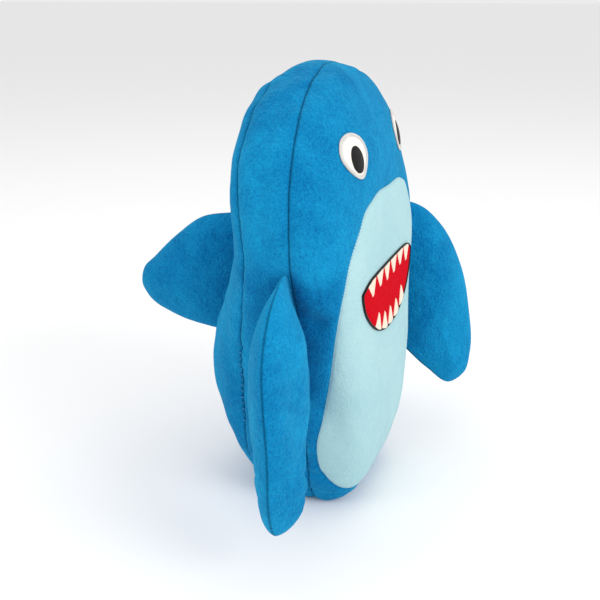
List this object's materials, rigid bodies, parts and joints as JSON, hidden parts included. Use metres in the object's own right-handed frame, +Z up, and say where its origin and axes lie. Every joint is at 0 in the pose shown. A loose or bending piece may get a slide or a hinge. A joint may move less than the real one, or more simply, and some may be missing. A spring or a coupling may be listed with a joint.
{
  "type": "plush shark",
  "caption": "Stuffed plush shark cushion that stands upright, with a toothy embroidered grin, two side fins and a back fin sewn into its seams.",
  "frame": {"origin": "middle of the flat patch that the shark stands on", "axes": "+Z up through the head; the belly faces -Y; the shark's right side is -X"},
  "size_m": [0.368, 0.3065, 0.383],
  "materials": {
    "blue_plush": "short pile with a soft sheen",
    "pale_blue_plush": "short pile",
    "stuffing": "loose polyester fibre",
    "red_felt": "flat felt",
    "cream_felt": "flat felt",
    "black_thread": "satin stitch",
    "white_thread": "satin stitch",
    "blue_thread": "sewing thread"
  },
  "bodies": {
    "body": {"body_stuffing": "stuffing", "face_panel": "blue_plush", "belly_panel": "pale_blue_plush", "right_gusset": "blue_plush", "left_gusset": "blue_plush", "right_back_panel": "blue_plush", "left_back_panel": "blue_plush", "mouth_patch": "red_felt", "mouth_outline": "black_thread", "upper_teeth": "cream_felt", "lower_teeth": "cream_felt", "right_eye_white": "cream_felt", "left_eye_white": "cream_felt", "right_eye_rim": "white_thread", "left_eye_rim": "white_thread", "right_pupil": "black_thread", "left_pupil": "black_thread", "closure_stitches": "blue_thread", "right_fin_root": "blue_plush", "left_fin_root": "blue_plush", "dorsal_fin_root": "blue_plush"},
    "right_fin": {"right_fin_front": "blue_plush", "right_fin_back": "blue_plush", "right_fin_stuffing": "stuffing"},
    "left_fin": {"left_fin_front": "blue_plush", "left_fin_back": "blue_plush", "left_fin_stuffing": "stuffing"},
    "dorsal_fin": {"dorsal_fin_right": "blue_plush", "dorsal_fin_left": "blue_plush", "dorsal_fin_stuffing": "stuffing"}
  },
  "joints": [
    {"name": "right_fin_swing", "type": "hinge", "parent": "body", "child": "right_fin", "pos_m": [-0.12682, -0.03501, 0.22967], "axis": [-0.2667, 0.0086, 0.9637], "range_deg": [-36, 58], "stiffness_Nm_per_rad": 0.12},
    {"name": "left_fin_swing", "type": "hinge", "parent": "body", "child": "left_fin", "pos_m": [0.12682, -0.03501, 0.22967], "axis": [-0.2667, -0.0086, -0.9637], "range_deg": [-93, 1], "stiffness_Nm_per_rad": 0.12},
    {"name": "dorsal_fin_swing", "type": "hinge", "parent": "body", "child": "dorsal_fin", "pos_m": [0, 0.03575, 0.25156], "axis": [0, -0.3114, 0.9503], "range_deg": [-40, 40], "stiffness_Nm_per_rad": 0.12}
  ]
}
